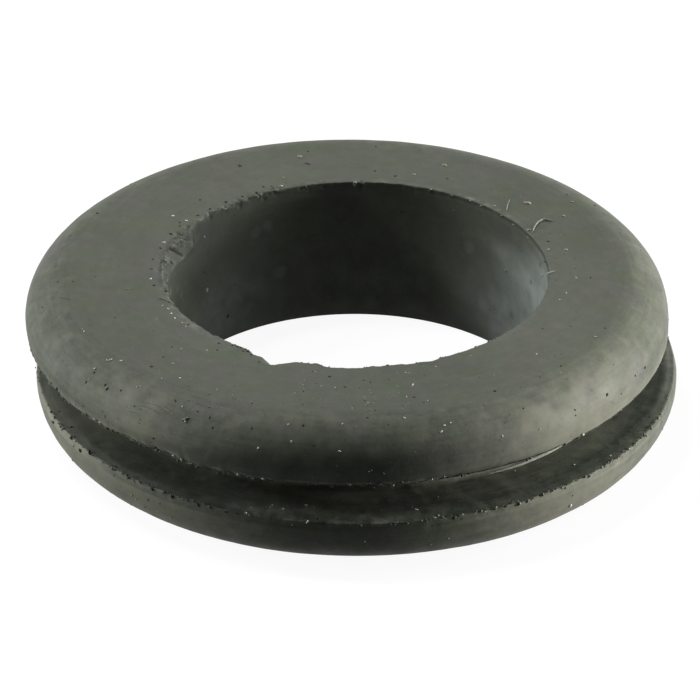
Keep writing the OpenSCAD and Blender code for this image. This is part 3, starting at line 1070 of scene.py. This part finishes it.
def table():
    """A pale matt table top. Its glow is seen, dimmer in reflections of the near side, but lights nothing."""
    nodes = material_nodes("pale_table")
    nodes.tree.nodes.remove(nodes.tree.nodes["Principled BSDF"])
    direct, glossy = rays(nodes)
    towards = nodes.add("SeparateXYZ", {0: nodes.place}).outputs[1]
    mirrored = nodes.times(glossy, nodes.stretched(towards, -30 * MM, -8 * MM, 2 * ROOM_GREY, 1.0))
    strength = nodes.times(nodes.math("MAXIMUM", direct, mirrored), 0.93)
    diffuse = nodes.add("BsdfDiffuse", {"Color": (0.13, 0.13, 0.13, 1)}).outputs[0]
    glow = nodes.add("Emission", {"Strength": strength}).outputs[0]
    both = nodes.add("AddShader", {0: diffuse, 1: glow}).outputs[0]
    nodes.feed(nodes.tree.nodes["Material Output"], {"Surface": both})
    mesh = bpy.data.meshes.new("table")
    corners = [(x * TABLE_HALF, y * TABLE_HALF, -SINK) for x, y in ((-1, -1), (1, -1), (1, 1), (-1, 1))]
    mesh.from_pydata(corners, [], [(0, 1, 2, 3)])
    mesh.materials.append(nodes.owner)
    piece = bpy.data.objects.new("table", mesh)
    bpy.context.scene.collection.objects.link(piece)


def sky():
    """White for what the camera and reflections see, and a dim even light for the rest.

    Reflections find it white behind the table and grey on the near side, where the room is.
    """
    world = bpy.data.worlds.new("studio")
    bpy.context.scene.world = world
    nodes = Nodes(world, "Generated")
    direct, glossy = rays(nodes)
    towards = nodes.add("SeparateXYZ", {0: nodes.place}).outputs[1]
    reflected = nodes.times(glossy, nodes.stretched(towards, -0.5, 0.3, ROOM_GREY, 1.0))
    strength = nodes.stretched(nodes.math("MAXIMUM", reflected, direct), 0.0, 1.0, 0.01, 1.0)
    nodes.feed(nodes.tree.nodes["Background"], {"Color": (0.8, 0.8, 0.8, 1), "Strength": strength})


def direction(azimuth, elevation):
    """The unit vector towards an azimuth and an elevation in degrees."""
    turn, tilt = math.radians(azimuth), math.radians(elevation)
    return Vector((math.cos(turn) * math.cos(tilt), math.sin(turn) * math.cos(tilt), math.sin(tilt)))


def aimed(name, data, place, aim):
    """An object for a lamp or the camera, standing at a place and looking at its aim."""
    holder = bpy.data.objects.new(name, data)
    holder.location = place
    holder.rotation_euler = (aim - place).to_track_quat("-Z", "Y").to_euler()
    bpy.context.scene.collection.objects.link(holder)
    return holder


def softbox(name, azimuth, elevation, power, colour, width=0.08, height=0.06):
    """A small area lamp at that azimuth and elevation in degrees, facing the grommet."""
    lamp = bpy.data.lights.new(name, "AREA")
    lamp.shape = "RECTANGLE"
    lamp.size, lamp.size_y = width, height
    lamp.energy = power
    lamp.color = colour
    aimed(name, lamp, LAMP_DISTANCE * direction(azimuth, elevation), Vector((0, 0, 0)))


def camera():
    """A long lens, 30 degrees above the table and square to the front."""
    lens = bpy.data.cameras.new("camera")
    lens.sensor_width = 36
    lens.lens = 327.7
    place = CAMERA_DISTANCE * direction(-90, CAMERA_ELEVATION)
    bpy.context.scene.camera = aimed("camera", lens, place, CAMERA_AIM)


# -------- the scene

camera()
sky()
table()
softbox("right_strip", 5, 1, 3.12, (1.0, 0.95, 0.91), 0.08, 0.015)
softbox("right_low", 8, 9, 1.30, (1, 1, 1), 0.2, 0.08)
softbox("right_window", 20, 30, 1.02, (0.94, 1.0, 0.95), 0.3, 0.2)
softbox("left_strip", 170, 1, 0.78, (1.0, 1.0, 0.96), 0.08, 0.015)
softbox("left_low", 160, 16, 0.80, (0.95, 0.98, 1.0))
softbox("left_middle", 185, 26, 0.48, (0.96, 1.0, 0.95))
softbox("left_high", 160, 55, 0.50, (0.99, 1.0, 1.0))
softbox("overhead", 150, 75, 0.76, (1.0, 0.95, 0.97))
bpy.context.scene.view_settings.view_transform = "Standard"

torn_rubber = torn_rubber_material("torn_rubber", RUBBER_TORN_DARK, RUBBER_TORN_PALE)
frayed_rubber = torn_rubber_material("frayed_rubber", (0.085, 0.09, 0.075, 1), (0.22, 0.225, 0.19, 1))
stretched_rubber = torn_rubber_material("stretched_rubber", (0.235, 0.24, 0.21, 1), (0.37, 0.38, 0.335, 1))
dust_grain = speck_material("dust_grain", (0.18, 0.165, 0.12, 1), (0.58, 0.59, 0.54, 1), 0.8)
black_grit = speck_material("black_grit", (0.01, 0.01, 0.009, 1), (0.035, 0.037, 0.03, 1), 0.7)
grey_crumb = speck_material("grey_crumb", (0.05, 0.054, 0.045, 1), (0.24, 0.245, 0.21, 1), 0.7)

surface, shares = worn_ring()
ring = mesh_piece("ring", surface, loop_faces(*surface.shape[:2]), rubber_material(), shares)
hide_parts(NODE)

parting_fin("upper_parting_fin", UPPER_EDGE, UPPER_RAGGED, 0.0, upper_edge_shift, 71, torn_rubber)
parting_fin("lower_parting_fin", LOWER_EDGE, LOWER_RAGGED, 0.005, lower_edge_shift, 81, frayed_rubber)
peeled_strand(stretched_rubber)

# Where dirt lies: thickest on the front of the upper face and its roll, thin at the back and in the bore
rng = np.random.default_rng(7)
facing = grid_normals(surface)
from_axis = np.hypot(surface[..., 0], surface[..., 1])
height = surface[..., 2]
frontness = np.exp(-((np.degrees(THETA) - 252.0) / 48.0) ** 2)
upward = np.clip(facing[..., 2], 0, 1)
in_bore = from_axis < BORE_R + 0.02
in_groove = (height < UNDER + 0.1) & (height > ROLL_R) & ~in_bore
clear_of_table = height > 0.25
lies = (0.10 + 0.90 * frontness) * (0.35 + 0.65 * upward) * clear_of_table
lies = lies * np.where(in_bore, 0.25, 1.0) * np.where(in_groove, 0.7, 1.0)
clump = np.exp(2.2 * noise(surface, 0.5, 91) + 1.2 * noise(surface, 2.0, 92))

count = 620
places, normals = scattered(surface, facing, lies * clump, count, rng)
sizes = random_sizes(0.017, 0.42, 0.009, 0.045, count, rng)
blobs("dust", [
    (places, normals, sizes, 0.7 * rng.random(count) ** 2.5),
    listed(BRIGHT_SPECKS, upper_face, 0.01, 0.9), listed(LEDGE_SPECKS, lower_face, 0.02, 0.9),
    listed(WALL_SPECKS, wall_face, 0.0, 0.9), listed(SIDE_SPECKS, side_face, 0.0, 0.9),
], 0.32, dust_grain, rng)

count = 480
behind_rim = in_groove * (np.abs(height - LEDGE) < 0.1) * falloff(np.abs(from_axis - FLANGE_R + 0.25), 0.3)
gritty = 0.25 + 0.75 * lies + 8.0 * behind_rim * around(THETA, RIM_GRIT)
places, normals = scattered(surface, facing, gritty * clump * clear_of_table, count, rng)
sizes = random_sizes(0.024, 0.5, 0.012, 0.080, count, rng)
blobs("grit", [
    (places, normals, sizes, rng.random(count)),
    listed(DARK_SPECKS, upper_face, 0.0, 0.3), listed(DARK_SIDE_SPECKS, side_face, 0.0, 0.3),
], 0.35, black_grit, rng)

# Crumbs of rubber at the torn places, and along both parting edges, paler at the lower edge's right
groups = (
    scattered(surface, facing, shares["torn"] ** 2 + 1e-6, 350, rng),
    rim_places(UPPER_EDGE, UPPER_RAGGED, upper_edge_shift, 420, rng),
    rim_places(LOWER_EDGE, LOWER_CRUMBLY, lower_edge_shift, 650, rng),
)
places, normals = (np.concatenate(column) for column in zip(*groups))
lower_places = groups[-1][0]
sizes = random_sizes(0.026, 0.45, 0.012, 0.065, len(places), rng)
tones = rng.random(len(places)) ** 1.5
pale_side = smoothstep(250.0, 285.0, np.degrees(np.arctan2(lower_places[:, 1], lower_places[:, 0])) % 360)
tones[-len(lower_places):] = 0.05 + 0.45 * pale_side + (0.2 + 0.3 * pale_side) * rng.random(len(lower_places))
crumbs = blobs("edge_crumbs", [(places, normals, sizes, tones)], 0.8, grey_crumb, rng)

lint(lint_material())
